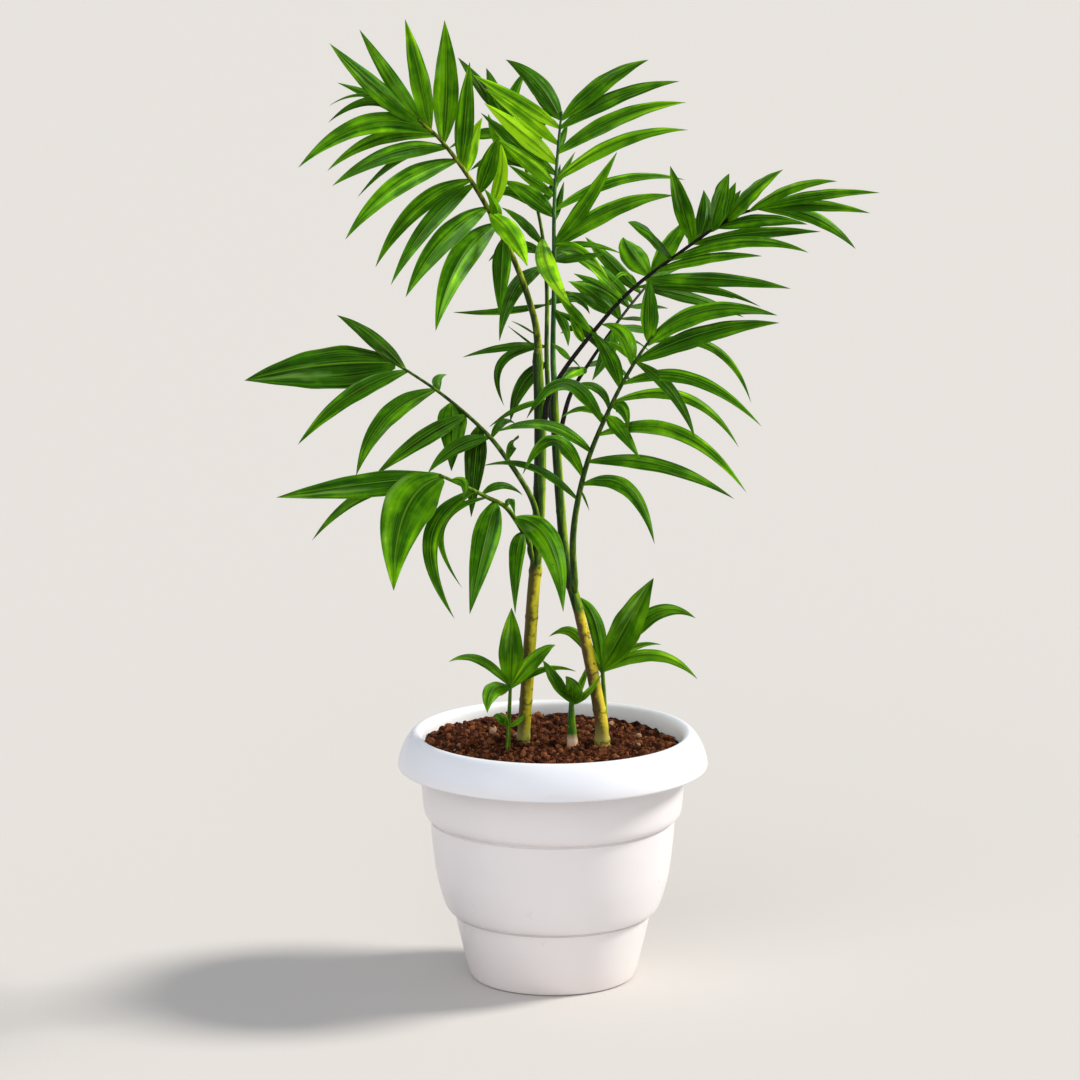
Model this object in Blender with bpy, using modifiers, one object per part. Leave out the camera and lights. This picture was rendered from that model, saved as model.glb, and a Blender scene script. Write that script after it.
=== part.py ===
# A young areca palm in a white tiered plastic pot, standing on a floor.
# Metres, +Z up. The origin is the centre of the pot's underside, on the floor.
# X runs to the plant's right, Y to its back. Plant layout values are in millimetres.

import math

import bmesh
import bpy
from mathutils import Vector

MM = 0.001
GAP = 0.3  # clearance between pieces that rest on each other
TOP_GAP = 1.1  # the same under a leaf stalk on top of a cane, where its end face is tilted
SHARP_ANGLE = math.radians(40)  # edges sharper than this stay crisp

# Pot: radius and height of its outline. Each tier overhangs the one below by a rounded step.
RIM_RADIUS = 125.0
RIM_TOP = 203.0
MOUTH_RADIUS = 104.3
BASE_RADIUS = 62.5
FLOOR_THICKNESS = 4.0
TURN_STEPS = 36
POT_INSIDE = [
    (BASE_RADIUS - 4.0, FLOOR_THICKNESS),
    (65.0, 7.0),
    (76.8, 54.0),
    (84.5, 60.0),
    (93.0, 88.0),
    (96.2, 131.0),
    (101.8, 138.5),
    (104.0, 172.0),
    (MOUTH_RADIUS, 190.0),
]
POT_RIM = [
    (105.6, 199.0),
    (108.0, 202.2),
    (110.8, RIM_TOP),
    (114.0, 201.8),
    (118.6, 197.4),
    (122.4, 190.2),
    (124.6, 182.0),
    (RIM_RADIUS, 176.6),
    (124.3, 175.2),
    (122.8, 175.2),
    (121.6, 182.0),
    (118.2, 189.6),
    (113.0, 194.0),
    (109.4, 193.4),
    (107.4, 189.0),
]
POT_OUTSIDE = [
    (106.8, 172.0),
    (105.0, 146.0),
    (103.8, 138.0),
    (101.8, 134.4),
    (99.0, 132.4),
    (98.0, 112.0),
    (95.8, 90.0),
    (93.2, 77.0),
    (90.0, 66.0),
    (86.8, 59.4),
    (82.6, 55.8),
    (79.6, 54.8),
    (76.4, 39.0),
    (70.6, 15.0),
    (67.0, 3.4),
    (65.4, 0.8),
    (BASE_RADIUS, 0.0),
]

# Soil: a lumpy bed, a little higher in the middle and at the plant's left than at its right.
SOIL_LEVEL = 190.6
SOIL_CROWN = 1.5
SOIL_TILT = (-0.024, 0.012)  # rise per millimetre along X and Y
SOIL_RINGS = 14  # rings of faces from the middle to the wall
# Waves that make the lumps: height, radians per millimetre along X and Y, and phase.
SOIL_WAVES = [(1.0, 0.21, -0.19, 0.9), (0.9, 0.19, 0.23, 1.7), (1.2, 0.43, -0.31, 2.1),
              (0.9, 0.33, 0.47, 0.4)]
PLANTING_DEPTH = 35.0
PIT_SIDES = 16

# Stems that stand in the soil: points of the axis from the soil upward, and the radius at each.
CANE_LEFT = {
    "path": [(-24, 4, 194), (-20, 2, 250), (-16, 0, 313), (-14, 0, 333), (-13.6, 0, 341),
             (-11, 0, 388), (-10, 0, 450), (-12, 0, 500), (-12, 0, 511)],
    "radii": [5.2, 5.2, 5.0, 5.1, 4.7, 5.0, 4.8, 4.0, 3.8],
}
CANE_RIGHT = {
    "path": [(40, 0, 190), (39.6, 0, 202), (38.6, 0, 214), (32, 2, 250), (21, 5, 300),
             (11, 8, 337), (7, 12, 374), (3.4, 13.6, 425), (1, 14, 468), (1, 14, 478)],
    "radii": [6.3, 5.6, 5.2, 4.9, 4.3, 4.4, 3.8, 3.8, 3.4, 3.2],
}

# Leaf blades: share of the full width at stations along the blade, the tip excluded.
BLADE_STATIONS = [(0.0, 0.20), (0.13, 0.66), (0.38, 1.0), (0.66, 0.74), (0.87, 0.32)]
BLADE_THICKNESS = 1.0
BLADE_FOLD = 0.20  # how far the edges drop below the keel, as a share of the half width
BLADE_ROOT = 0.4  # how far from the stalk's axis a blade starts, as a share of the tip radius
BLADE_LAST = 0.97  # the last place along the stalk where a blade is rooted
SHOOT_FACE = (0.0, -0.75, 0.65)  # the way the young shoots' leaves look
SHOOT_TOP = 1.0  # the uppermost leaf of a shoot starts so far below its tip
SHOOT_STEP = 0.7  # and each further one so much lower

# Fronds. "cane", "at" and "side" say which cane carries the leaf stalk, at what height and on
# which side. "path" goes on from there to the tip. Each leaflet is (place along the stalk 0-1,
# tip, width, rise of its middle above the straight line, shift of its middle to the right).
FRONDS = {
    "frond_upper_left": {
        "cane": "cane_left", "at": 511, "side": None, "radii": (3.4, 1.2),
        "path": [(-12, 0, 519), (-16, -10, 545), (-31, -26, 590), (-58, -48, 645), (-84, -68, 685),
                 (-104, -82, 706)],
        "face": (0.1, -0.85, 0.5),
        "leaflets": [
            (0.97, (-170, -120, 768), 12, 0), (1.00, (-148, -102, 777), 10, 0),
            (0.94, (-113, -105, 785), 14, 0), (0.87, (-83, -102, 784), 16, 0),
            (0.76, (-64, -99, 752), 14, 0), (0.64, (-42, -85, 694), 14, 0),
            (1.00, (-167, -60, 732), 8, 4), (0.99, (-173, -88, 704), 8, 15),
            (0.93, (-194, -136, 675), 15, 26), (0.91, (-174, -90, 667), 10, 16, -4),
            (0.85, (-168, -144, 662), 14, 16), (0.86, (-153, -40, 640), 5, 6),
            (0.79, (-158, -150, 622), 16, 16, -8), (0.70, (-137, -102, 594), 14, 18, -13),
            (0.68, (-124, -142, 586), 13, 12, -9), (0.58, (-113, -130, 575), 18, 11, -7),
            (0.51, (-90, -138, 550), 19, 15, -11), (0.45, (-42, -51, 549), 14, 4),
            (0.28, (-42, -62, 530), 11, 6), (0.56, (-20, -117, 597), 13, 12, 9),
            (0.34, (14, -92, 562), 12, 19, 5),
        ],
    },
    "frond_top": {
        "cane": "cane_right", "at": 478, "side": None, "radii": (2.8, 0.9),
        "path": [(1, 14, 486), (0, 17, 510), (1, 28, 566), (1, 43, 620), (4, 58, 666), (7, 68, 696)],
        "face": (0.0, -0.8, 0.6),
        "leaflets": [
            (1.00, (76, 41, 740), 12, 6), (0.94, (101, 50, 722), 13, 10),
            (0.85, (106, 41, 706), 14, 13), (0.75, (86, 24, 686), 12, 8),
            (0.64, (107, 92, 638), 9, 10), (0.52, (51, 24, 669), 11, -2, 3),
            (0.51, (96, 7, 636), 15, 8), (1.00, (-38, 84, 736), 14, 5, 5),
            (0.93, (-64, 92, 724), 13, 6, 3), (0.88, (-51, 75, 701), 12, 6, 3),
            (0.81, (-42, 62, 686), 12, 3), (0.74, (-45, 50, 676), 10, 3),
            (0.70, (-40, 84, 649), 9, 3), (0.63, (-39, 56, 631), 14, 4),
            (0.86, (12, 78, 686), 6, 0), (0.73, (18, 75, 663), 5, 0), (0.60, (9, 60, 641), 6, 0),
        ],
    },
    "frond_right": {
        "cane": "cane_left", "at": 462, "side": (0.6, -0.8), "radii": (2.4, 1.0),
        "path": [(-5.2, -7.6, 471), (1, -13, 487), (20, -18, 516), (58, -31, 563), (98, -45, 597),
                 (137, -58, 626), (166, -64, 637)],
        "face": (-0.25, -0.7, 0.65),
        "leaflets": [
            (0.74, (90, -79, 670), 14, 0), (0.81, (135, -96, 666), 12, 0),
            (0.87, (176, -104, 670), 12, 0), (0.94, (217, -113, 662), 10, 6),
            (0.99, (251, -96, 651), 10, 10), (0.99, (245, -79, 633), 10, 6),
            (0.98, (236, -50, 601), 9, 12, 6), (0.66, (65, -100, 628), 14, 4),
            (0.57, (57, -24, 605), 14, 4, -6), (0.58, (108, -8, 621), 14, 4),
            (0.73, (129, -10, 636), 13, 3), (0.83, (196, -92, 626), 9, 3),
            (0.74, (205, -112, 623), 9, 3), (0.65, (195, -128, 609), 10, 6),
            (0.59, (170, -96, 599), 10, 2), (0.55, (181, -140, 583), 13, 8, 5),
            (0.51, (163, -40, 554), 7, 7), (0.46, (23, -75, 595), 11, 4, -5),
            (0.39, (10, -45, 567), 8, 3),
        ],
    },
    "frond_lower_right": {
        "cane": "cane_right", "at": 328, "side": (0.5, -0.87), "radii": (3.0, 1.0),
        "path": [(16, -10, 362), (20, -20, 397), (30, -34, 438), (49, -56, 486), (65, -73, 518),
                 (77, -85, 538)],
        "face": (-0.2, -0.75, 0.62),
        "leaflets": [
            (0.36, (79, -99, 376), 12, 26, 10), (0.45, (141, -99, 412), 11, 16),
            (0.56, (149, -124, 422), 11, 32, 7), (0.70, (146, -50, 444), 8, 24, 8),
            (0.78, (160, -132, 475), 10, 29), (0.88, (174, -115, 553), 17, 6),
            (0.96, (175, -124, 572), 17, 13, -6), (0.88, (110, -105, 460), 8, 8, 6),
            (1.00, (155, -60, 481), 7, 26, 17), (1.00, (74, -99, 586), 14, 0),
            (0.86, (37, -52, 542), 12, 9, 6), (0.76, (28, -99, 545), 12, 3, 4),
            (0.61, (-21, -99, 475), 12, 36), (0.49, (-45, -112, 467), 12, 22, 7),
            (0.39, (-24, -82, 428), 11, 37), (0.30, (-55, -92, 437), 8, 16, 3),
        ],
    },
    "frond_inner_right": {
        "cane": "cane_right", "at": 450, "side": (0.9, 0.45), "radii": (2.0, 0.9),
        "path": [(14, 22, 474), (28, 34, 496), (54, 62, 529), (79, 100, 554)],
        "face": (-0.2, -0.75, 0.62),
        "leaflets": [
            (1.00, (148, 92, 541), 10, 6), (0.94, (157, 124, 521), 11, 6),
            (0.90, (26, 60, 596), 12, 4, -4), (0.81, (3, 46, 587), 10, 8, 4),
            (0.77, (15, 76, 555), 10, 10, 4), (0.67, (18, 46, 562), 15, 8, 4),
            (0.59, (104, 104, 501), 8, 9), (0.46, (6, 62, 517), 10, 14, 3),
            (0.50, (80, 120, 493), 8, 10), (0.34, (65, 88, 471), 10, 13, 3),
            (0.98, (113, 136, 571), 10, 8, -6), (0.22, (46, 44, 452), 7, 13, 9),
        ],
    },
    "frond_back": {
        "cane": "cane_right", "at": 462, "side": (-0.6, 0.8), "radii": (2.2, 0.9),
        "path": [(-5, 30, 501), (-5, 44, 560), (-11, 64, 612), (-27, 90, 662), (-44, 110, 694)],
        "face": (0.0, -0.8, 0.6),
        "leaflets": [
            (1.00, (-77, 124, 734), 10, 3), (0.99, (-54, 138, 724), 10, 3),
            (0.92, (-20, 132, 724), 10, 3, -8), (0.89, (-85, 118, 660), 10, 11),
            (0.78, (-67, 104, 644), 10, 14), (0.79, (-4, 118, 690), 9, 0),
            (0.64, (-52, 66, 628), 11, 12, 3), (0.64, (6, 102, 650), 7, 0, 6),
            (0.49, (-52, 74, 574), 10, 13, -3), (0.33, (-81, 66, 534), 6, 7),
            (0.27, (-43, 60, 486), 10, 9, -7), (0.18, (-73, 54, 497), 7, 8),
            (0.14, (-38, 42, 461), 7, 17, -20), (0.08, (-51, 42, 444), 6, 9, -8),
            (0.46, (30, 88, 572), 10, 13), (0.33, (30, 74, 531), 10, 14, 6),
        ],
    },
    "frond_left": {
        "cane": "cane_left", "at": 378, "side": (-0.1, -0.99), "radii": (2.6, 1.0),
        "path": [(-19, -11, 400), (-39, 0, 429), (-57, 14, 448), (-90, 40, 472), (-131, 61, 496)],
        "face": (0.15, -0.75, 0.62),
        "leaflets": [
            (1.00, (-248, 43, 482), 33, 16), (0.92, (-175, 84, 529), 10, 6),
            (0.91, (-203, -11, 439), 14, 22, -11), (0.76, (-156, -29, 417), 15, 22, -15),
            (0.57, (-141, -38, 419), 14, 14, -7), (0.42, (-99, -38, 421), 11, 12, -6),
            (0.66, (-81, -2, 416), 17, 8), (0.49, (-65, -20, 382), 16, 8),
            (0.29, (-27, -34, 451), 7, 4), (0.41, (-30, 46, 446), 6, 8),
            (0.74, (-86, 84, 480), 8, 4, -6),
        ],
    },
    "frond_lower_left": {
        "cane": "cane_left", "at": 352, "side": (-0.7, -0.71), "radii": (2.4, 1.3),
        "path": [(-20, -7.5, 361), (-36, -25, 390), (-52, -44, 403), (-68, -64, 415), (-88, -89, 429)],
        "face": (0.1, -0.8, 0.58),
        "leaflets": [
            (1.00, (-215, -108, 415), 18, 15), (0.98, (-191, -40, 367), 9, 16, -9),
            (0.99, (-123, -146, 349), 36, 18, -16), (0.90, (-70, -100, 412), 8, 10, 6),
            (0.68, (-77, -92, 315), 11, 12, -38), (0.55, (-72, -32, 327), 5, 12, -34),
            (0.46, (-65, -116, 324), 22, 10, 4), (0.60, (-24, -30, 402), 6, 8),
            (0.36, (-30, -62, 392), 6, 11), (0.14, (-30, -38, 307), 12, 12, -14),
            (0.26, (8, -76, 317), 19, 24, 22),
        ],
    },
}

# Young shoots round the canes: a stem and leaves (tip, width, rise, shift) from its top.
# A planted one stands in the soil, the other grows from the foot of the right cane.
SHOOTS = {
    "shoot_left": {
        "planted": True,
        "path": [(-36, -14, 194), (-35, -14, 220), (-34, -14, 245)], "radii": [1.9, 1.6, 1.3],
        "leaves": [((-33, -30, 311), 20, 0, -3), ((-83, -40, 269), 9, 9, 0),
                   ((-52, -60, 232), 16, 8, -6), ((2, -32, 281), 13, 4, 4),
                   ((19, -14, 255), 6, 9, 0)],
    },
    "shoot_middle": {
        "planted": True,
        "path": [(16, -10, 192), (15.5, -10, 200), (15, -10, 214), (15, -11, 230)],
        "radii": [4.6, 4.2, 3.2, 1.9],
        "leaves": [((-7, -30, 267), 11, 3, -2), ((11, -34, 252), 8, 8, 4),
                   ((34, -18, 249), 6, 3, 2)],
    },
    "shoot_right": {
        "planted": False,
        "path": [(42.2, 6.6, 214), (41.2, 9.6, 232), (40, 11, 253)], "radii": [2.2, 1.9, 1.6],
        "leaves": [((80, -34, 336), 28, 2, -4), ((115, 8, 294), 16, 22, 6),
                   ((88, 32, 270), 7, 12, 0), ((116, -20, 250), 11, 22, 4),
                   ((18, 44, 305), 12, 10, 8), ((-3, 34, 273), 10, 16, 0),
                   ((12, 36, 265), 8, 6, 0)],
    },
    "seedling": {
        "planted": True,
        "path": [(-37, -25, 193), (-36, -25, 205), (-36, -24, 214)], "radii": [1.2, 1.1, 0.9],
        "leaves": [((-48, -32, 222), 9, 3, 0), ((-22, -30, 224), 5, 0, 2),
                   ((-39, -38, 224), 6, 2, 0)],
    },
}

# Red, green, blue and roughness of each finish.
COLOURS = {
    "pot_white": (0.86, 0.86, 0.87, 0.35),
    "soil_brown": (0.09, 0.04, 0.022, 0.95),
    "cane_olive": (0.25, 0.22, 0.05, 0.5),
    "leaf_green": (0.06, 0.24, 0.025, 0.4),
}


def clear_scene():
    for obj in list(bpy.data.objects):
        bpy.data.objects.remove(obj, do_unlink=True)


def new_collection(name, hidden=False):
    collection = bpy.data.collections.new(name)
    bpy.context.scene.collection.children.link(collection)
    collection.hide_render = hidden
    return collection


def material(name):
    red, green, blue, roughness = COLOURS[name]
    made = bpy.data.materials.get(name)
    if made is None:
        made = bpy.data.materials.new(name)
        made.use_nodes = True
        shader = made.node_tree.nodes["Principled BSDF"]
        shader.inputs["Base Color"].default_value = (red, green, blue, 1.0)
        shader.inputs["Roughness"].default_value = roughness
        shader.inputs["Metallic"].default_value = 0.0
        made.diffuse_color = (red, green, blue, 1.0)
    return made


def add_object(name, mesh, finish, collection):
    mesh.name = name
    obj = bpy.data.objects.new(name, mesh)
    mesh.materials.clear()
    mesh.materials.append(material(finish))
    mesh.shade_smooth()
    mesh.set_sharp_from_angle(angle=SHARP_ANGLE)
    collection.objects.link(obj)
    return obj


def evaluated_mesh(obj):
    """The object's mesh with its modifiers applied; the object itself is removed."""
    bpy.context.view_layer.update()
    graph = bpy.context.evaluated_depsgraph_get()
    mesh = bpy.data.meshes.new_from_object(obj.evaluated_get(graph))
    mesh.transform(obj.matrix_world)
    bpy.data.objects.remove(obj, do_unlink=True)
    return mesh


def weld(mesh):
    work = bmesh.new()
    work.from_mesh(mesh)
    bmesh.ops.remove_doubles(work, verts=work.verts, dist=1e-6)
    work.to_mesh(mesh)
    work.free()
    return mesh


def turned_mesh(outline, steps):
    """A solid of revolution from (radius, height) points, inside first, down the outer side."""
    mesh = bpy.data.meshes.new("outline")
    points = [(radius * MM, 0.0, height * MM) for radius, height in outline]
    mesh.from_pydata(points, [(i, i + 1) for i in range(len(points) - 1)], [])
    obj = bpy.data.objects.new("outline", mesh)
    bpy.context.scene.collection.objects.link(obj)
    screw = obj.modifiers.new("turn", "SCREW")
    screw.axis = "Z"
    screw.steps = steps
    screw.render_steps = steps
    screw.use_merge_vertices = True
    screw.merge_threshold = 0.0001
    return weld(evaluated_mesh(obj))


def smooth_path(points, between):
    """Points of a smooth curve through the given ones, with so many steps between two."""
    knots = [Vector(p) for p in points]
    ends = [2 * knots[0] - knots[1]] + knots + [2 * knots[-1] - knots[-2]]
    path = []
    for i in range(1, len(ends) - 2):
        a, b, c, d = ends[i - 1 : i + 3]
        for step in range(between):
            t = step / between
            path.append(
                0.5 * (2 * b + (c - a) * t + (2 * a - 5 * b + 4 * c - d) * t**2
                       + (3 * b - a - 3 * c + d) * t**3)
            )
    return path + [knots[-1]]


def spread(values, count):
    """So many values, read evenly along the given ones."""
    last = len(values) - 1
    result = []
    for i in range(count):
        at = i * last / (count - 1)
        low = min(int(at), last - 1)
        result.append(values[low] + (values[low + 1] - values[low]) * (at - low))
    return result


def tube_mesh(path, radii, rounding=2):
    """A round closed tube along the path, in millimetres."""
    curve = bpy.data.curves.new("tube", "CURVE")
    curve.dimensions = "3D"
    curve.bevel_depth = MM
    curve.bevel_resolution = rounding
    curve.use_fill_caps = True
    spline = curve.splines.new("POLY")
    spline.points.add(len(path) - 1)
    for point, place, radius in zip(spline.points, path, radii):
        point.co = (*(place * MM), 1.0)
        point.radius = radius
    obj = bpy.data.objects.new("tube", curve)
    bpy.context.scene.collection.objects.link(obj)
    return weld(evaluated_mesh(obj))


def make_blade(base, tip, width, rise, shift, face):
    """A pointed leaf blade on a quadratic curve, folded along its keel and closed all round."""
    pull = (base + tip) / 2 + 2 * Vector((shift, 0, rise))
    blade = bmesh.new()
    rings = []
    for along, share in BLADE_STATIONS:
        centre = base * (1 - along) ** 2 + pull * 2 * along * (1 - along) + tip * along**2
        heading = ((pull - base) * (1 - along) + (tip - pull) * along).normalized()
        normal = (face - heading * face.dot(heading)).normalized()
        across = heading.cross(normal)
        half = width * share / 2
        drop = normal * half * BLADE_FOLD
        keel = normal * BLADE_THICKNESS / 2
        corners = [centre - across * half - drop, centre + keel,
                   centre + across * half - drop, centre - keel]
        rings.append([blade.verts.new(corner * MM) for corner in corners])
    point = blade.verts.new(tip * MM)
    blade.faces.new(rings[0][::-1])
    # The upper and the lower side are split alike, from edge below to keel above, so that
    # they never cross. Corners 0 and 2 are the edges, 1 and 3 the two sides of the keel.
    for low, high in zip(rings, rings[1:]):
        for edge, ridge in ((0, 1), (0, 3), (2, 1), (2, 3)):
            outward = (ridge - edge) % 4 == 1
            for side in ((low[edge], low[ridge], high[ridge]), (low[edge], high[ridge], high[edge])):
                blade.faces.new(side if outward else side[::-1])
    for i in range(4):
        blade.faces.new((rings[-1][i], rings[-1][(i + 1) % 4], point))
    return blade


def blade_from(axis, tip, stalk, *form):
    """A blade that starts just off the stalk's axis, inside the stalk, on the tip's side."""
    tip = Vector(tip)
    base = axis + (tip - axis).normalized() * BLADE_ROOT * stalk
    return make_blade(base, tip, *form)


def along_path(path, share):
    """The point at this share of the path's length."""
    lengths = [(b - a).length for a, b in zip(path, path[1:])]
    left = share * sum(lengths)
    for a, b, length in zip(path, path[1:], lengths):
        if left <= length:
            return a.lerp(b, left / length)
        left -= length
    return path[-1].copy()


def joined(name, stem, blades, finish, collection, cutters):
    """Stem and blades joined into one closed body, one Boolean union after another.

    The exact solver drops faces where thin blades cross, so these use the manifold one.
    """
    obj = add_object(name, stem, finish, collection)
    for number, blade in enumerate(blades):
        mesh = bpy.data.meshes.new(f"{name}_blade_{number}")
        blade.to_mesh(mesh)
        blade.free()
        helper = bpy.data.objects.new(mesh.name, mesh)
        helper.hide_render = True
        helper.display_type = "WIRE"
        cutters.objects.link(helper)
        union = obj.modifiers.new(mesh.name, "BOOLEAN")
        union.operation = "UNION"
        union.object = helper
        union.solver = "MANIFOLD"
    return obj


def cane_axis(cane):
    return smooth_path(cane["path"], 2)


def cane_at(cane, height):
    """Centre and radius of the cane at this height."""
    axis = cane_axis(cane)
    radii = spread(cane["radii"], len(axis))
    for low, high, first, last in zip(axis, axis[1:], radii, radii[1:]):
        if low.z <= height <= high.z:
            share = (height - low.z) / (high.z - low.z)
            return low.lerp(high, share), first + (last - first) * share
    return axis[-1].copy(), radii[-1]


def buried(path):
    """The path with its first stretch led straight down into the soil."""
    foot = path[0]
    return [foot - Vector((0, 0, PLANTING_DEPTH))] + path


def make_pot(collection):
    outline = [(0.0, FLOOR_THICKNESS)] + POT_INSIDE + POT_RIM + POT_OUTSIDE + [(0.0, 0.0)]
    return add_object("pot", turned_mesh(outline, TURN_STEPS), "pot_white", collection)


def soil_height(x, y):
    """Height of the lumpy soil surface at a place, in millimetres."""
    out = math.hypot(x, y) / MOUTH_RADIUS
    lumps = sum(high * math.sin(a * x + b * y + phase) for high, a, b, phase in SOIL_WAVES)
    return SOIL_LEVEL + SOIL_TILT[0] * x + SOIL_TILT[1] * y + SOIL_CROWN * (1 - out * out) + lumps


def soil_mesh():
    """The soil fills the pot up to its level and keeps the gap to the pot's wall.

    It is turned in twice as many steps as the pot, for the lumps. Every second column is
    drawn in to lie flat on the pot's facets.
    """
    walls = [(radius - GAP, height + GAP) for radius, height in POT_INSIDE]
    walls[-1] = (MOUTH_RADIUS - GAP, SOIL_LEVEL)
    rings = [(i / SOIL_RINGS * walls[-1][0], SOIL_LEVEL) for i in range(1, SOIL_RINGS)]
    outline = [(0.0, SOIL_LEVEL)] + rings + walls[::-1] + [(0.0, FLOOR_THICKNESS + GAP)]
    mesh = turned_mesh(outline, 2 * TURN_STEPS)
    for vertex in mesh.vertices:
        place = vertex.co
        if round(math.atan2(place.y, place.x) / math.pi * TURN_STEPS) % 2:
            place.xy *= math.cos(math.pi / TURN_STEPS)
        if place.z > (SOIL_LEVEL - GAP) * MM:
            place.z = soil_height(place.x / MM, place.y / MM) * MM
    return mesh


def make_pit(name, foot, radius, cutters):
    """A round cutter for the place of one stem, with the gap all round it."""
    bpy.ops.mesh.primitive_cylinder_add(
        vertices=PIT_SIDES,
        radius=(radius + GAP) / math.cos(math.pi / PIT_SIDES) * MM,
        depth=2 * (PLANTING_DEPTH + GAP) * MM,
        location=foot * MM,
    )
    cutter = bpy.context.active_object
    cutter.name = name + "_pit"
    cutter.hide_render = True
    cutter.display_type = "WIRE"
    for owner in list(cutter.users_collection):
        owner.objects.unlink(cutter)
    cutters.objects.link(cutter)
    return cutter


def make_soil(collection, cutters, stems):
    soil = add_object("soil", soil_mesh(), "soil_brown", collection)
    for name, foot, radius in stems:
        pit = soil.modifiers.new(name + "_pit", "BOOLEAN")
        pit.operation = "DIFFERENCE"
        pit.object = make_pit(name, foot, radius, cutters)
        pit.solver = "EXACT"
    return soil


def make_cane(name, cane, collection):
    axis = cane_axis(cane)
    radii = spread(cane["radii"], len(axis))
    mesh = tube_mesh(buried(axis), [radii[0]] + radii)
    return add_object(name, mesh, "cane_olive", collection)


def make_frond(name, frond, canes, collection, cutters):
    root, end = frond["radii"]
    centre, radius = cane_at(canes[frond["cane"]], frond["at"])
    if frond["side"] is None:
        start = centre + Vector((0, 0, TOP_GAP))
    else:
        start = centre + Vector((*frond["side"], 0)).normalized() * (radius + root + GAP)
    path = smooth_path([start] + frond["path"], 2)
    stem = tube_mesh(path, spread([root, end], len(path)), rounding=1)
    face = Vector(frond["face"])
    blades = []
    for at, tip, width, rise, *shift in frond["leaflets"]:
        axis = along_path(path, min(at, BLADE_LAST))
        blades.append(blade_from(axis, tip, end, width, rise, sum(shift), face))
    return joined(name, stem, blades, "leaf_green", collection, cutters)


def make_shoot(name, shoot, collection, cutters):
    path = [Vector(p) for p in shoot["path"]]
    radii = shoot["radii"]
    if shoot["planted"]:
        path = buried(path)
        radii = [radii[0]] + radii
    stem = tube_mesh(path, radii, rounding=1)
    face = Vector(SHOOT_FACE)
    blades = []
    for number, (tip, width, rise, shift) in enumerate(shoot["leaves"]):
        axis = path[-1] - Vector((0, 0, SHOOT_TOP + SHOOT_STEP * number))
        blades.append(blade_from(axis, tip, radii[-1], width, rise, shift, face))
    return joined(name, stem, blades, "leaf_green", collection, cutters)


def build():
    clear_scene()
    parts = new_collection("potted_areca_palm")
    cutters = new_collection("cutters", hidden=True)
    canes = {"cane_left": CANE_LEFT, "cane_right": CANE_RIGHT}
    make_pot(parts)
    stems = []
    for name, cane in canes.items():
        make_cane(name, cane, parts)
        stems.append((name, Vector(cane["path"][0]), cane["radii"][0]))
    for name, shoot in SHOOTS.items():
        make_shoot(name, shoot, parts, cutters)
        if shoot["planted"]:
            stems.append((name, Vector(shoot["path"][0]), shoot["radii"][0]))
    make_soil(parts, cutters, stems)
    for name, frond in FRONDS.items():
        make_frond(name, frond, canes, parts, cutters)


build()
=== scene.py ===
import math

import bmesh
import bpy
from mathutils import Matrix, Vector


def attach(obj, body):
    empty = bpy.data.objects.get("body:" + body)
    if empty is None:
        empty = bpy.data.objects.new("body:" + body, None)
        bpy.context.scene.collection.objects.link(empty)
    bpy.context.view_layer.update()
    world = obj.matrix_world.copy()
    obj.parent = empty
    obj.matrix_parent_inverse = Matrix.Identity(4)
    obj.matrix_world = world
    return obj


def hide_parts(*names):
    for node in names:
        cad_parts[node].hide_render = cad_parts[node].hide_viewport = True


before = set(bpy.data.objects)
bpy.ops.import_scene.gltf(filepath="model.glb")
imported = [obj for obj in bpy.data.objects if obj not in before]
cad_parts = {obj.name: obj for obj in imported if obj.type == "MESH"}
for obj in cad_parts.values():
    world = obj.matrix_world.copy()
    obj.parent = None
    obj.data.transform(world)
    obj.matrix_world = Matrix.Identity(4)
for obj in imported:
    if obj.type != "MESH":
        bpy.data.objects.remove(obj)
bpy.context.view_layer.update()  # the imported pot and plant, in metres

mm = 0.001


# small helpers for node trees

class Field:
    # what a node puts out; sums, products and the like of it add math nodes
    def __init__(self, tree, socket):
        self.tree, self.socket = tree, socket

    def other(self, label):
        return Field(self.tree, self.socket.node.outputs[label])

    def math(self, operation, *values):
        return addNode(self.tree, "ShaderNodeMath", self, *values, operation=operation)

    def vector(self, operation, *values):
        return addNode(self.tree, "ShaderNodeVectorMath", self, *values, operation=operation)

    def reckon(self, operation, value):
        isVector = self.socket.type == "VECTOR"
        return self.vector(operation, value) if isVector else self.math(operation, value)

    def __add__(self, value):
        return self.reckon("ADD", value)

    def __sub__(self, value):
        return self.reckon("SUBTRACT", value)

    def __rsub__(self, value):
        return addNode(self.tree, "ShaderNodeMath", value, self, operation="SUBTRACT")

    def __mul__(self, value):
        if self.socket.type == "VECTOR" and not isinstance(value, tuple):
            return self.vector("SCALE", value)
        return self.reckon("MULTIPLY", value)

    def __lt__(self, value):
        return self.math("LESS_THAN", value)

    def __abs__(self):
        return self.math("ABSOLUTE")


def plug(source, socket):
    # a field is linked, and a plain value is set
    if isinstance(source, Field):
        source.tree.links.new(source.socket, socket)
    elif source is not None:
        socket.default_value = source


def addNode(tree, kind, *sources, **settings):
    node = tree.nodes.new(kind)
    for setting, value in settings.items():
        setattr(node, setting, value)
    for source, socket in zip(sources, [socket for socket in node.inputs if socket.enabled]):
        plug(source, socket)
    return Field(tree, next(socket for socket in node.outputs if socket.enabled))


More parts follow.
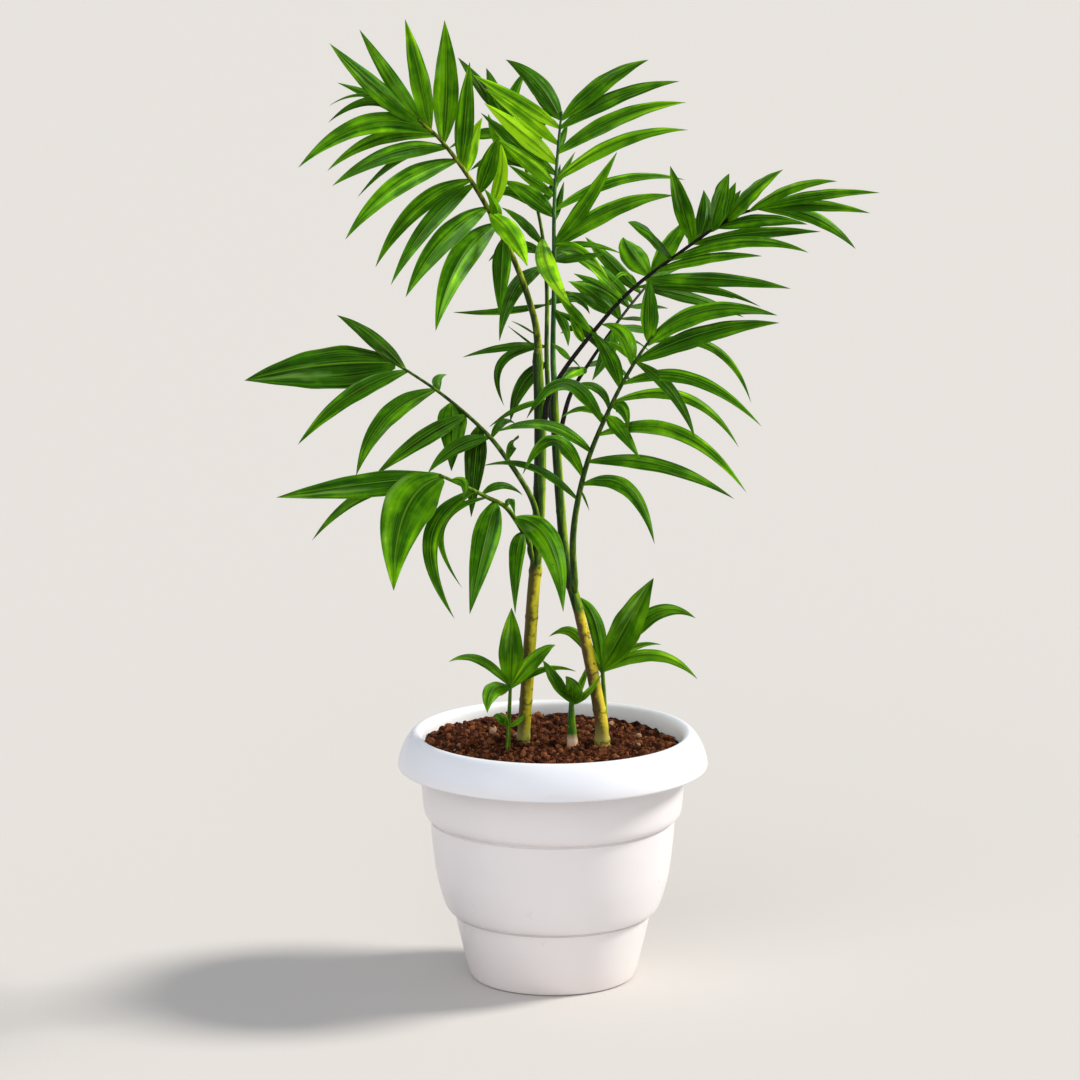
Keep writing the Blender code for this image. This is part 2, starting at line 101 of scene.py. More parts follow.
def newTree(name, **inputs):
    # inputs give each named input's kind
    tree = bpy.data.node_groups.new(name, "GeometryNodeTree")
    face = tree.interface
    face.new_socket("Geometry", in_out="OUTPUT", socket_type="NodeSocketGeometry")
    face.new_socket("Geometry", in_out="INPUT", socket_type="NodeSocketGeometry")
    for label, kind in inputs.items():
        face.new_socket(label.replace("_", " "), in_out="INPUT", socket_type="NodeSocket" + kind)
    return tree, {socket.name: Field(tree, socket)
                  for socket in tree.nodes.new("NodeGroupInput").outputs}


def readField(tree, name, kind="FLOAT"):
    return addNode(tree, "GeometryNodeInputNamedAttribute", name, data_type=kind)


def storeField(geometry, name, value):
    return addNode(geometry.tree, "GeometryNodeStoreNamedAttribute", geometry, None, name, value)


def moved(geometry, offset, selection=None):
    return addNode(geometry.tree, "GeometryNodeSetPosition", geometry, selection, None, offset)


def joined(*parts):
    node = parts[0].tree.nodes.new("GeometryNodeJoinGeometry")
    for part in parts:
        plug(part, node.inputs[0])
    return Field(parts[0].tree, node.outputs[0])


def tube(tree, line, sides):
    # a round skin about the line, as thick as the line's own "thick" says
    node = tree.nodes.new("GeometryNodeCurveToMesh")
    plug(addNode(tree, "GeometryNodeMeshToCurve", line), node.inputs["Curve"])
    plug(addNode(tree, "GeometryNodeCurvePrimitiveCircle", sides, 1.0), node.inputs["Profile Curve"])
    plug(readField(tree, "thick"), node.inputs["Scale"])
    plug(True, node.inputs["Fill Caps"])
    return Field(tree, node.outputs["Mesh"])


def finishTree(geometry, *finishes):
    # smooth, plain mesh, with each finish on its own selection
    tree = geometry.tree
    geometry = addNode(tree, "GeometryNodeSetShadeSmooth", geometry, None, True)
    geometry = addNode(tree, "GeometryNodeRealizeInstances", geometry)
    for selection, finish in finishes:
        geometry = addNode(tree, "GeometryNodeSetMaterial", geometry, selection, finish)
    plug(geometry, tree.nodes.new("NodeGroupOutput").inputs["Geometry"])
    return tree


def evaluated(obj):
    # the object's mesh as its modifiers leave it
    bpy.context.view_layer.update()
    graph = bpy.context.evaluated_depsgraph_get()
    return bpy.data.meshes.new_from_object(obj.evaluated_get(graph))


def growMesh(obj, tree, values):
    # runs the tree on the object and keeps the result as its plain mesh
    modifier = obj.modifiers.new(tree.name, "NODES")
    modifier.node_group = tree
    for socket in tree.interface.items_tree:
        if socket.item_type == "SOCKET" and socket.name in values:
            modifier[socket.identifier] = values[socket.name]
    mesh = evaluated(obj)
    obj.modifiers.remove(modifier)
    obj.data = mesh
    return obj


def addPiece(name, data):
    obj = bpy.data.objects.new(name, data)
    bpy.context.scene.collection.objects.link(obj)
    return obj


def settle(obj, node, sharpAngle=40):
    # the piece stands for its imported node, which is hidden
    obj.data.name = obj.name
    obj.data.set_sharp_from_angle(angle=math.radians(sharpAngle))
    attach(obj, "root")
    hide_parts(node)
    print(obj.name, len(obj.data.polygons), "faces")


def lineMesh(name, path, more=()):
    # the path in millimetres as a line of edges, with more loose points after it
    mesh = bpy.data.meshes.new(name)
    mesh.from_pydata([point * mm for point in (*path, *more)],
                     [(i, i + 1) for i in range(len(path) - 1)], [])
    return mesh


def setPoints(mesh, name, kind, values):
    layer = mesh.attributes.new(name, kind, "POINT")
    if kind == "FLOAT":
        layer.data.foreach_set("value", values)
    else:
        layer.data.foreach_set("vector", [number for value in values for number in value])


def smoothPath(points, between):
    # a smooth curve through the points, with so many steps between two
    knots = [Vector(point) for point in points]
    ends = [2 * knots[0] - knots[1]] + knots + [2 * knots[-1] - knots[-2]]
    path = []
    for i in range(1, len(ends) - 2):
        a, b, c, d = ends[i - 1:i + 3]
        for step in range(between):
            t = step / between
            path.append(0.5 * (2 * b + (c - a) * t + (2 * a - 5 * b + 4 * c - d) * t**2
                               + (3 * b - a - 3 * c + d) * t**3))
    return path + [knots[-1]]


def spread(values, count):
    # so many values, read evenly along the given ones
    last = len(values) - 1
    result = []
    for i in range(count):
        at = i * last / (count - 1)
        low = min(int(at), last - 1)
        result.append(values[low] + (values[low + 1] - values[low]) * (at - low))
    return result


def alongPath(path, share):
    # the point at this share of the path's length
    lengths = [(b - a).length for a, b in zip(path, path[1:])]
    left = share * sum(lengths)
    for a, b, length in zip(path, path[1:], lengths):
        if left <= length:
            return a.lerp(b, left / length)
        left -= length
    return path[-1].copy()


# small helpers for materials, of which fade and noise serve the node trees too

def newMaterial(name, **plain):
    material = bpy.data.materials.new(name)
    material.use_nodes = True
    shader = material.node_tree.nodes["Principled BSDF"]
    for label, value in plain.items():
        shader.inputs[label.replace("_", " ")].default_value = value
    return material, material.node_tree, shader


def fade(value, low, high, first, last):
    # goes from first to last while the value goes from low to high
    return addNode(value.tree, "ShaderNodeMapRange", value, low, high, first, last)


def objectPlace(tree):
    return Field(tree, tree.nodes.new("ShaderNodeTexCoord").outputs["Object"])


def heightOf(place):
    return addNode(place.tree, "ShaderNodeSeparateXYZ", place).other("Z")


def surfaceTowards(tree, direction):
    # how much the surface faces a direction, which may differ from place to place
    normal = Field(tree, tree.nodes.new("ShaderNodeNewGeometry").outputs["Normal"])
    return normal.vector("DOT_PRODUCT", direction)


def readAttribute(tree, name):
    return addNode(tree, "ShaderNodeAttribute", attribute_name=name).other("Fac")


def noise(place, scale, detail=3.0, roughness=0.5):
    return addNode(place.tree, "ShaderNodeTexNoise", place, scale, detail, roughness)


def ramp(factor, *stops):
    # stops are (place, grey) or (place, (red, green, blue))
    result = addNode(factor.tree, "ShaderNodeValToRGB", factor)
    elements = result.socket.node.color_ramp.elements
    while len(elements) < len(stops):
        elements.new(0.5)
    for element, (place, colour) in zip(elements, stops):
        element.position = place
        element.color = (*(colour if isinstance(colour, tuple) else (colour,) * 3), 1)
    return result


def layColours(colour, *layers):
    # lays one colour after the other over the first, each as strongly as its mask says
    for mask, over in layers:
        over = (*over, 1) if isinstance(over, tuple) else over
        colour = addNode(mask.tree, "ShaderNodeMix", mask, colour, over, data_type="RGBA")
    return colour


def finishShader(shader, colour, roughness, height, strength, distance):
    bump = addNode(height.tree, "ShaderNodeBump", strength, distance)
    plug(height, bump.socket.node.inputs["Height"])
    for label, source in (("Base Color", colour), ("Roughness", roughness), ("Normal", bump)):
        plug(source, shader.inputs[label])


# pot: a turned white plastic planter, its tiers overhanging one another

potForm = {
    "turns": 160,  # steps round the pot
    "between": 5,  # steps between two points of a run
    # runs of (radius, height) in millimetres, smooth within a run and creased between runs
    "runs": [
        [(0, 4), (40, 4), (58.5, 4), (65, 7), (76.8, 54)],
        [(76.8, 54), (84.5, 60), (93, 88), (96.2, 131)],
        [(96.2, 131), (101.8, 138.5), (104, 172), (104.3, 190), (105.6, 199), (108, 202.2),
         (110.8, 203), (113.8, 201.5), (117.8, 196.8), (121.6, 189.6), (124.2, 182),
         (125, 176.6), (124.3, 175.2)],
        [(124.3, 175.2), (122.8, 175.2)],
        [(122.8, 175.2), (121.6, 182), (118.2, 189.6), (113, 194), (109.4, 193.4),
         (107.4, 189), (106.8, 172), (105, 146), (103.8, 138), (101.8, 134.4), (99, 132.4)],
        [(99, 132.4), (97.6, 132.0), (97.9, 130.9), (98.9, 130.3)],
        [(98.9, 130.3), (97.4, 112), (94.8, 90), (92.1, 77), (88.9, 66), (86.4, 59.8),
         (84.2, 56.6), (82.4, 55.2)],
        [(82.4, 55.2), (80.2, 54.6), (77.8, 54.3), (78.2, 53.1), (79.2, 52.4)],
        [(79.2, 52.4), (76.4, 39), (70.6, 15), (67, 3.4), (65.4, 0.8), (62.5, 0)],
        [(62.5, 0), (40, 0), (0, 0)],
    ],
}
potLook = {
    "shaded": (0.80, 0.765, 0.775),
    "body": (0.84, 0.805, 0.815),
    "rim": (0.80, 0.82, 0.875),
    # the inner wall's whiter tone is painted bounced light
    "paintedLightInnerWall": (0.96, 0.96, 0.98),
    # painted warm light bounced from the floor, at the foot
    "paintedWarmBounce": (0.76, 0.65, 0.58),
    # in metres
    "rimHeights": (0.168, 0.186),  # where the body's tone goes over into the rim's cooler one, painted cool light from above
    "paintedWarmBounceHeights": (0.02, 0.09),
    "innerReach": 0.1085,  # radius that holds the inner wall
}


def potOutline():
    outline = []
    for run in potForm["runs"]:
        # short runs stay straight
        steps = 1 if len(run) < 4 else potForm["between"]
        points = smoothPath([(radius, 0, height) for radius, height in run], steps)
        outline += points if not outline else points[1:]
    return outline


def turnedMesh(outline, turns):
    obj = addPiece("outline", lineMesh("outline", outline))
    screw = obj.modifiers.new("turn", "SCREW")
    screw.steps = screw.render_steps = turns
    screw.use_merge_vertices = True
    screw.merge_threshold = 0.0001
    turned = evaluated(obj)
    bpy.data.objects.remove(obj, do_unlink=True)
    form = bmesh.new()
    form.from_mesh(turned)
    bmesh.ops.remove_doubles(form, verts=form.verts, dist=1e-6)
    form.to_mesh(turned)
    form.free()
    turned.shade_smooth()
    return turned


def potPlastic():
    material, tree, shader = newMaterial("potPlastic", Coat_Weight=0.25, Coat_Roughness=0.2,
                                         Subsurface_Weight=0.08)
    shader.inputs["Subsurface Radius"].default_value = (0.004, 0.003, 0.003)
    place = objectPlace(tree)
    height = heightOf(place)
    clean = ramp(noise(place, 9.0, 4.0), (0.35, potLook["shaded"]), (0.65, potLook["body"]))
    # painted cool light on the rim
    coolRimLight = fade(height, *potLook["rimHeights"], 0.0, 1.0)
    # the inner wall faces the pot's axis, and its whiter tone is painted bounced light
    flat = place * (1.0, 1.0, 0.0)
    inner = (surfaceTowards(tree, flat) < 0.0) * (flat.vector("LENGTH") < potLook["innerReach"])
    # painted warm light bounced from the floor tints the foot, and fades out up the wall
    warmBounceFade = fade(height + noise(place, 18.0) * 0.05, *potLook["paintedWarmBounceHeights"], 1.0, 0.0)
    colour = layColours(clean, (coolRimLight, potLook["rim"]), (inner, potLook["paintedLightInnerWall"]),
                        (ramp(warmBounceFade, (0.0, 0.0), (1.0, 0.35)), potLook["paintedWarmBounce"]))
    scuffs = fade(noise(place, 60.0, 6.0, 0.6), 0.3, 0.7, 0.27, 0.40)
    finishShader(shader, colour, scuffs, noise(place, 900.0, 2.0), 0.06, 0.0002)
    return material


def makePot():
    pot = addPiece("potShell", turnedMesh(potOutline(), potForm["turns"]))
    pot.data.materials.append(potPlastic())
    settle(pot, "pot", 30)


makePot()
print("pot done")

# soil: a crumbly dark bed with loose clods and a few pale grains

soilForm = {
    "level": 190.6,  # height of the bed at the wall, in millimetres
    "crown": 1.5,  # how much higher its middle is
    "tilt": (-0.024, 0.012),  # rise for each millimetre to the right and to the back
    "radius": 104.3,
    # waves that make the main lumps: height, turns of phase along X and Y, and phase
    "waves": [(1.0, 0.21, -0.19, 0.9), (0.9, 0.19, 0.23, 1.7), (1.2, 0.43, -0.31, 2.1),
              (0.9, 0.33, 0.47, 0.4)],
    "calm": 94,  # from this radius to the edge the lumps die out
    "clodSizes": (1.5, 4.1),  # smallest and largest radius
    "crumbSizes": (0.5, 1.5),
    "turns": 144,
    "rings": 60,
    "floor": 4.4,  # height of the bed's underside
    "walls": [(103.6, 180), (103.2, 172), (101.0, 139), (95.4, 131), (92.2, 88), (83.7, 60.4),
              (76.0, 54.4), (64.2, 7.3), (58, 4.4)],
}
soilSettings = {
    "Edge": 101.5 * mm,
    "Lumps": 3.0 * mm,  # depth of the broad lumps
    "Grit": 2.0 * mm,  # depth of the fine ones
    "Clods": 13000.0,  # large clods on a square metre
    "Crumbs": 68000.0,  # small ones
    "Seed": 5,
}


def soilTree():
    tree, inputs = newTree("crumbleSoil", Edge="Float", Lumps="Float", Grit="Float",
                           Clods="Float", Crumbs="Float", Seed="Int", Material="Material")
    place = addNode(tree, "GeometryNodeInputPosition")
    onTop = readField(tree, "onTop")
    out = (place * (1.0, 1.0, 0.0)).vector("LENGTH")
    inside = fade(out, soilForm["calm"] * mm, inputs["Edge"], 1.0, 0.0)

    def waves(scale, detail, depth):
        return (noise(place, scale, detail, 0.55) - 0.5) * (depth * inside)

    def randomVector(low, high, seed):
        return addNode(tree, "FunctionNodeRandomValue", low, high, None, seed,
                       data_type="FLOAT_VECTOR")

    lift = waves(70.0, 2.0, inputs["Lumps"]) + waves(260.0, 3.0, inputs["Grit"])
    bed = moved(inputs["Geometry"], addNode(tree, "ShaderNodeCombineXYZ", 0.0, 0.0, lift), onTop)
    middle = onTop * (out < inputs["Edge"])
    parts = [bed]
    for label, density, (small, large), steps in (
            ("clod", inputs["Clods"], soilForm["clodSizes"], 2),
            ("crumb", inputs["Crumbs"], soilForm["crumbSizes"], 1)):
        points = tree.nodes.new("GeometryNodeDistributePointsOnFaces")
        for socket, source in (("Mesh", bed), ("Selection", middle), ("Density", density),
                               ("Seed", inputs["Seed"] + float(steps))):
            plug(source, points.inputs[socket])
        spin = randomVector((0.0, 0.0, 0.0), (6.28, 6.28, 6.28), 3 + steps)
        small, large = small * mm, large * mm
        size = randomVector((small, small, small * 0.8), (large, large * 0.85, large * 0.75),
                            7 + steps)
        dents = addNode(tree, "GeometryNodeInputNormal") * ((noise(place, 1.9, 2.0) - 0.5) * 1.2)
        form = moved(addNode(tree, "GeometryNodeMeshIcoSphere", 1.0, steps), dents)
        luck = addNode(tree, "FunctionNodeRandomValue", 0.0, 1.0, None, 11 + steps)
        spots = storeField(Field(tree, points.outputs["Points"]), label + "Luck", luck)
        grains = addNode(tree, "GeometryNodeInstanceOnPoints", spots, None, form, None, None,
                         spin, size)
        parts.append(addNode(tree, "GeometryNodeRealizeInstances", grains))
    return finishTree(joined(*parts), (None, inputs["Material"]))


def soilCrumbs():
    material, tree, shader = newMaterial("soilCrumbs", Specular_IOR_Level=0.06)
    place = objectPlace(tree)
    earth = ramp(noise(place, 160.0, 4.0, 0.6), (0.36, (0.008, 0.002, 0.001)),
                 (0.52, (0.070, 0.018, 0.006)), (0.66, (0.260, 0.084, 0.030)))
    luck = readAttribute(tree, "clodLuck").math("MAXIMUM", readAttribute(tree, "crumbLuck"))
    colour = layColours(
        earth,
        (ramp(luck, (0.0, 0.5), (0.02, 0.0)), (0.006, 0.002, 0.001)),  # painted shade on the bed between the clods
        (ramp(luck, (0.30, 0.0), (0.95, 0.62)), (0.340, 0.120, 0.045)),  # light clods
        (ramp(luck, (0.990, 0.0), (0.992, 0.7)), (0.42, 0.30, 0.20)))  # pale grains
    grit = noise(place, 900.0, 3.0, 0.6)
    finishShader(shader, colour, fade(grit, 0.3, 0.7, 0.75, 0.95), grit, 0.8, 0.0008)
    return material


def soilHeight(x, y):
    out = math.hypot(x, y) / soilForm["radius"]
    lumps = sum(high * math.sin(a * x + b * y + phase) for high, a, b, phase in soilForm["waves"])
    tilt = soilForm["tilt"]
    return (soilForm["level"] + tilt[0] * x + tilt[1] * y + soilForm["crown"] * (1 - out * out)
            + lumps)


def makeSoil():
    high, rings = soilForm["level"], soilForm["rings"]
    reach = soilForm["walls"][0][0]
    outline = [Vector((0, 0, soilForm["floor"]))] + [Vector((r, 0, z)) for r, z in soilForm["walls"][::-1]]
    outline += [Vector((i / rings * reach, 0, high)) for i in range(rings, -1, -1)]
    bed = addPiece("soilBed", turnedMesh(outline, soilForm["turns"]))
    onTop = []
    for point in bed.data.vertices:
        onTop.append(float(point.co.z > (high - 1) * mm))
        if onTop[-1]:
            point.co.z = soilHeight(point.co.x / mm, point.co.y / mm) * mm
    setPoints(bed.data, "onTop", "FLOAT", onTop)
    growMesh(bed, soilTree(), {**soilSettings, "Material": soilCrumbs()})
    bed.data.attributes.remove(bed.data.attributes["onTop"])
    settle(bed, "soil", 180)


makeSoil()
print("soil done")

# canes: jointed stems with sheath lines, swollen rings and a mottled skin

caneLeft = {
    "path": [(-24, 4, 194), (-20, 2, 250), (-16, 0, 313), (-14, 0, 333), (-13.6, 0, 341),
             (-11, 0, 388), (-10, 0, 450), (-12, 0, 500), (-12, 0, 511)],
    "radii": [5.2, 5.2, 5.0, 5.1, 4.7, 5.0, 4.8, 4.0, 3.8],
    # joints: height, how far each ring stands out, and half its height
    "joints": [(197, 0.5, 3.0), (228, 0.35, 1.6), (263, 0.4, 1.6), (297, 0.35, 1.5),
               (335, 0.75, 2.6), (402, 0.25, 1.4), (455, 0.4, 2.0), (504, 0.5, 2.5)],
}
caneRight = {
    "path": [(40, 0, 190), (39.6, 0, 202), (38.6, 0, 214), (32, 2, 250), (21, 5, 300),
             (11, 8, 337), (7, 12, 374), (3.4, 13.6, 425), (1, 14, 468), (1, 14, 478)],
    "radii": [6.3, 5.6, 5.2, 4.9, 4.3, 4.4, 3.8, 3.8, 3.4, 3.2],
    "joints": [(196, 0.7, 2.6), (221, 0.4, 1.5), (252, 0.45, 1.8), (283, 0.4, 1.8),
               (322, 0.6, 2.4), (333, 0.5, 2.0), (381, 0.3, 1.4), (448, 0.4, 1.6)],
}
plantingDepth = 35  # how far the stems reach down into the soil
caneSteps = 260  # steps up a cane
roundedEnd = [(0.9, 0.82), (1.3, 0.45)]  # rise over the last point, and share of its radius
stemSettings = {
    "Sides": 28,
    "Bumps": 0.5 * mm,  # unevenness of the skin
    "Bump Scale": 120.0,
}


def stemTree():
    tree, inputs = newTree("growStem", Sides="Int", Bumps="Float", Bump_Scale="Float",
                           Material="Material")
    stretched = addNode(tree, "GeometryNodeInputPosition") * (1.0, 1.0, 0.4)
    lumps = (noise(stretched, inputs["Bump Scale"], 3.0) - 0.5) * inputs["Bumps"]
    stem = moved(tube(tree, inputs["Geometry"], inputs["Sides"]),
                 addNode(tree, "GeometryNodeInputNormal") * lumps)
    return finishTree(stem, (None, inputs["Material"]))


def caneSkin(name, sheath, shaded, sunny, foot, joints):
    # below the sheath line the old cane is mottled, and above it the green sheath goes on
    material, tree, shader = newMaterial(name, Specular_IOR_Level=0.2)
    place = objectPlace(tree)
    height = heightOf(place)
    # both carry painted sunlight on the side that faces right and painted shade on the other side
    side = surfaceTowards(tree, (0.85, 0.15, 0.0))
    clouds = noise(place, 110.0, 5.0, 0.65)
    between = tuple((a + b) / 2 for a, b in zip(shaded, sunny))
    spots = ramp(noise(place, 230.0, 4.0, 0.65), (0.60, 0.0), (0.67, 0.85))
    streaks = noise(place * (1.0, 1.0, 0.12), 320.0, 3.0, 0.6)
    green = ramp(side * 0.5 + streaks, (0.25, (0.004, 0.016, 0.001)),
                 (0.62, (0.050, 0.140, 0.004)), (0.92, (0.340, 0.470, 0.018)))
    edge = height + (clouds - 0.5) * 0.018
    layers = [(spots, (0.060, 0.032, 0.006)), (fade(height, 0.196, 0.212, 0.7, 0.0), foot),
              (fade(edge, sheath - 0.003, sheath + 0.004, 0.0, 1.0), green)]
    # a dark scar runs round below each joint
    for joint in joints:
        scar = fade(abs(edge - (joint - 1.6) * mm), 0.0004, 0.0013, 0.75, 0.0)
        layers.append((scar, (0.075, 0.050, 0.012)))
    old = ramp(side * 0.62 + clouds, (0.28, shaded), (0.46, between), (0.66, sunny))
    rough = fade(clouds, 0.3, 0.7, 0.42, 0.66)
    finishShader(shader, layColours(old, *layers), rough, streaks, 0.35, 0.0006)
    return material


def canePoint(cane, height):
    # the cane's centre and radius at a height, in millimetres
    axis = smoothPath(cane["path"], 2)
    radii = spread(cane["radii"], len(axis))
    for low, high, first, last in zip(axis, axis[1:], radii, radii[1:]):
        if low.z <= height <= high.z:
            share = (height - low.z) / (high.z - low.z)
            return low.lerp(high, share), first + (last - first) * share
    return axis[-1].copy(), radii[-1]


def makeCane(name, node, cane, tree, material):
    low, high = cane["path"][0][2], cane["path"][-1][2]
    foot = Vector(cane["path"][0])
    path = [foot - Vector((0, 0, drop)) for drop in (plantingDepth, plantingDepth / 2)]
    thick = [cane["radii"][0]] * 2
    for i in range(caneSteps + 1):
        height = low + (high - low) * i / caneSteps
        centre, radius = canePoint(cane, height)
        for joint, swell, half in cane["joints"]:
            radius += swell * math.exp(-((height - joint) / half) ** 2)
        path.append(centre)
        thick.append(radius)
    end, endRadius = path[-1], thick[-1]
    for rise, share in roundedEnd:
        path.append(end + Vector((0, 0, rise)))
        thick.append(endRadius * share)
    mesh = lineMesh(name, path)
    setPoints(mesh, "thick", "FLOAT", [radius * mm for radius in thick])
    piece = growMesh(addPiece(name, mesh), tree, {**stemSettings, "Material": material})
    settle(piece, node)


stemMaker = stemTree()
makeCane("caneLeft", "cane_left", caneLeft, stemMaker, caneSkin(
    "caneSkinLeft", 0.336, (0.085, 0.068, 0.008), (0.700, 0.620, 0.024), (0.330, 0.330, 0.090),
    [joint[0] for joint in caneLeft["joints"][:5]]))
makeCane("caneRight", "cane_right", caneRight, stemMaker, caneSkin(
    "caneSkinRight", 0.300, (0.085, 0.055, 0.014), (0.700, 0.560, 0.028), (0.330, 0.310, 0.070),
    [joint[0] for joint in caneRight["joints"][:5]]))
print("canes done")

# leaf blades and stalks

bladeForm = {
    "Cells Across": 18,
    "Cells Along": 26,
    "Thickness": 0.42 * mm,
    "Fold": 0.21,  # drop of the edges below the keel, as a share of the half width
    "Arch": 0.07,  # further drop towards the edges, which rounds each half
    "Ridge": 0.014,  # height of the lengthwise pleats, as a share of the half width
    "Keel": 0.05,  # height of the keel that runs up the middle
    "Ripple": 0.05,  # waviness of the edges, as a share of the half width
    "Stalk Sides": 12,
    "Seed": 11,
}
bladeOutline = [(0.0, 0.20), (0.06, 0.44), (0.13, 0.66), (0.24, 0.89), (0.38, 1.0), (0.52, 0.91),
                (0.66, 0.74), (0.78, 0.52), (0.87, 0.32), (0.95, 0.13), (1.0, 0.0)]
bladeDetail = {
    "pleats": 2,  # whole pleats between the keel and an edge
    "keelWidth": 0.11,  # as a share of the half width
    "waves": 14.0,  # phase of the edge's ripple from root to tip, and up to twice that by luck
    "offset": 40.0,  # how far luck shifts the ripple's phase
    "slant": 1.3,  # how far the phase shifts from the keel to an edge
}
bladeRoot = 0.4  # a blade starts this share of the stalk's radius off its axis
lastRoot = 0.97  # the last place along a stalk where a blade is rooted


def bladeTemplate(tree, inputs):
    # a flat closed blade of unit size: across -1 to 1, along 0 to 1, layer above and below
    rows, columns = (inputs[label] + 1.0 for label in ("Cells Across", "Cells Along"))
    grid = addNode(tree, "GeometryNodeMeshGrid", 2.0, 1.0, rows, columns)
    place = addNode(tree, "ShaderNodeSeparateXYZ", addNode(tree, "GeometryNodeInputPosition"))
    side, along = place.other("X"), place.other("Y")
    # the rows close up towards the keel, where the blade bends most
    across = side * abs(side).math("POWER", 0.5)
    grid = storeField(storeField(grid, "across", across), "along", along + 0.5)
    # the rim stays in one layer, and inside it the two faces part
    inside = (abs(across) < 0.999) * (abs(along) < 0.499)
    lift = addNode(tree, "ShaderNodeCombineXYZ", 0.0, 0.0, inside)
    upper = storeField(moved(grid, lift), "layer", inside)
    lower = storeField(moved(grid, lift * (-1.0, -1.0, -1.0)), "layer", inside * -1.0)
    both = joined(upper, addNode(tree, "GeometryNodeFlipFaces", lower))
    return addNode(tree, "GeometryNodeMergeByDistance", both, None, 0.001)


def bendBlades(tree, inputs, blades):
    # lays each unit blade on its own curve from root over pull to tip
    root, pull, tip, face = (
        readField(tree, name, "FLOAT_VECTOR") for name in ("root", "pull", "tip", "face"))
    across, along, layer, width, twist, luck = (
        readField(tree, name) for name in ("across", "along", "layer", "width", "twist", "luck"))
    back = 1.0 - along
    centre = root * (back * back) + (pull * (along * back * 2.0) + tip * (along * along))
    heading = ((pull - root) * back + (tip - pull) * along).vector("NORMALIZE")
    facing = addNode(tree, "ShaderNodeVectorRotate", face, (0.0, 0.0, 0.0), heading, twist * along)
    leaning = facing.vector("DOT_PRODUCT", heading)
    normal = (facing - heading * leaning).vector("NORMALIZE")
    sideways = heading.vector("CROSS_PRODUCT", normal)

    outline = addNode(tree, "ShaderNodeFloatCurve", 1.0, along)
    mapping = outline.socket.node.mapping
    curve = mapping.curves[0]
    for place, share in bladeOutline[1:-1]:
        curve.points.new(place, share)
    curve.points[0].location = bladeOutline[0]
    curve.points[-1].location = bladeOutline[-1]
    mapping.update()
    half = width * 0.5 * outline

    away, square = abs(across), across * across
    fall = inputs["Fold"] * away + inputs["Arch"] * square
    pleats = inputs["Ridge"] * (across * (2 * math.pi * bladeDetail["pleats"])).math("COSINE")
    ridges = pleats + fade(away, 0.0, bladeDetail["keelWidth"], inputs["Keel"], 0.0)
    waves = bladeDetail["waves"]
    phase = along * (luck * waves + waves) + luck * bladeDetail["offset"]
    sway = (phase + across * bladeDetail["slant"]).math("SINE")
    relief = half * (ridges + inputs["Ripple"] * square * sway - fall)
    height = relief + layer * 0.5 * inputs["Thickness"]
    place = centre + (sideways * (across * half) + normal * height)
    return addNode(tree, "GeometryNodeSetPosition", blades, None, place)


def frondTree():
    tree, inputs = newTree(
        "growLeaves", Cells_Across="Int", Cells_Along="Int", Thickness="Float", Fold="Float",
        Arch="Float", Ridge="Float", Keel="Float", Ripple="Float", Stalk_Sides="Int", Seed="Int",
        Blade_Material="Material", Stalk_Material="Material")
    isRoot = readField(tree, "isRoot")
    parts = addNode(tree, "GeometryNodeSeparateGeometry", inputs["Geometry"], isRoot)
    luck = addNode(tree, "FunctionNodeRandomValue", 0.0, 1.0, None, inputs["Seed"])
    blades = addNode(tree, "GeometryNodeInstanceOnPoints",
                     storeField(parts.other("Selection"), "luck", luck), None,
                     bladeTemplate(tree, inputs))
    blades = bendBlades(tree, inputs, addNode(tree, "GeometryNodeRealizeInstances", blades))
    blades = addNode(tree, "GeometryNodeMergeByDistance", blades, None, 0.01 * mm)
    stalk = tube(tree, parts.other("Inverted"), inputs["Stalk Sides"])
    return finishTree(joined(blades, stalk), (None, inputs["Blade Material"]),
                      (isRoot < 0.5, inputs["Stalk Material"]))


